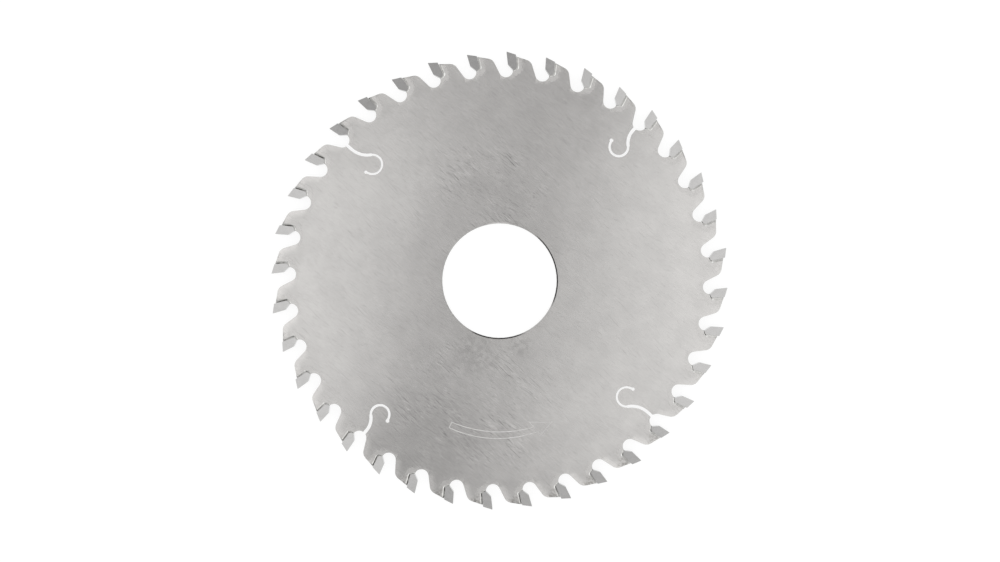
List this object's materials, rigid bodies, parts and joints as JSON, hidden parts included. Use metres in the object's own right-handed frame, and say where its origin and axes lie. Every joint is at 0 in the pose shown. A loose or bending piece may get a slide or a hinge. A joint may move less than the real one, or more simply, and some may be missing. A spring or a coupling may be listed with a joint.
{
  "type": "circular saw blade",
  "caption": "Flat circular saw blade for a table or panel saw: a ground steel plate with a round bore, hooked expansion slots and soldered carbide teeth.",
  "frame": {"origin": "centre of the bore, halfway through the plate's thickness", "axes": "+Z along the bore's axis, out of the face that carries the marks, with the blade lying flat; seen from +Z the teeth cut counter-clockwise; +Y is up and +X is right in the picture"},
  "size_m": [0.18, 0.18, 0.0052],
  "materials": {
    "ground_steel": "ground, with fine straight scratches",
    "carbide": "finely ground, satin",
    "silver_solder": "flowed and blasted, satin"
  },
  "bodies": {
    "root": {"blade_plate": "ground_steel", "carbide_tip_01": "carbide", "carbide_tip_02": "carbide", "carbide_tip_03": "carbide", "carbide_tip_04": "carbide", "carbide_tip_05": "carbide", "carbide_tip_06": "carbide", "carbide_tip_07": "carbide", "carbide_tip_08": "carbide", "carbide_tip_09": "carbide", "carbide_tip_10": "carbide", "carbide_tip_11": "carbide", "carbide_tip_12": "carbide", "carbide_tip_13": "carbide", "carbide_tip_14": "carbide", "carbide_tip_15": "carbide", "carbide_tip_16": "carbide", "carbide_tip_17": "carbide", "carbide_tip_18": "carbide", "carbide_tip_19": "carbide", "carbide_tip_20": "carbide", "carbide_tip_21": "carbide", "carbide_tip_22": "carbide", "carbide_tip_23": "carbide", "carbide_tip_24": "carbide", "carbide_tip_25": "carbide", "carbide_tip_26": "carbide", "carbide_tip_27": "carbide", "carbide_tip_28": "carbide", "carbide_tip_29": "carbide", "carbide_tip_30": "carbide", "carbide_tip_31": "carbide", "carbide_tip_32": "carbide", "carbide_tip_33": "carbide", "carbide_tip_34": "carbide", "carbide_tip_35": "carbide", "carbide_tip_36": "carbide", "solder_seams": "silver_solder"}
  },
  "joints": []
}
